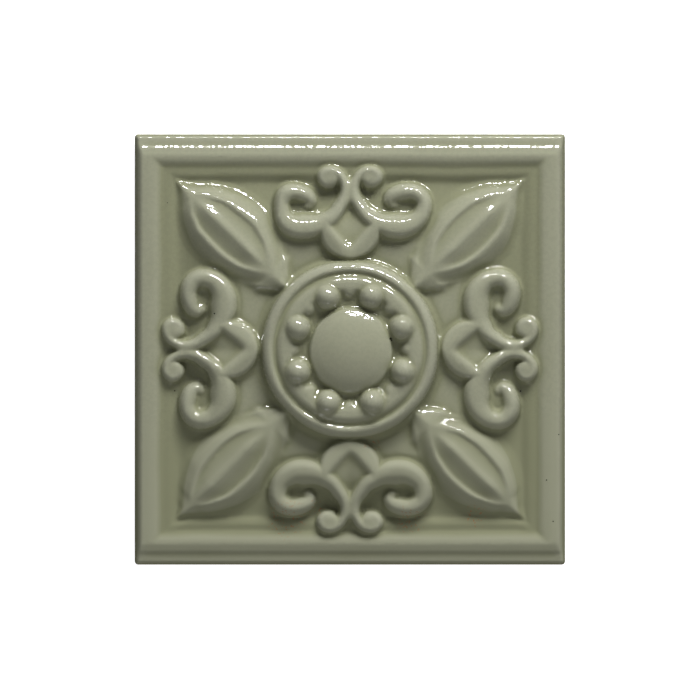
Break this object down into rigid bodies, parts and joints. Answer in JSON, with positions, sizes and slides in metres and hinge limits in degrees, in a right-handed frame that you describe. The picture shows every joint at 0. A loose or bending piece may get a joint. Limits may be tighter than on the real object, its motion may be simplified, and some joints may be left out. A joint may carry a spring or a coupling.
{
  "type": "relief porcelain wall tile",
  "caption": "Square glazed porcelain wall tile with a moulded frame and a raised rosette, corner leaves and paired side scrolls.",
  "frame": {"origin": "middle of the flat back face, on the plane that the tile rests on", "axes": "+Z out of the glazed face; +Y towards the picture's top edge; +X towards its right edge"},
  "size_m": [0.15, 0.15, 0.0226],
  "materials": {
    "sage_glaze": "gloss sage green glaze, thin and paler on the ridges and pooled darker in the recesses"
  },
  "bodies": {
    "root": {"porcelain_tile": "sage_glaze"}
  },
  "joints": []
}
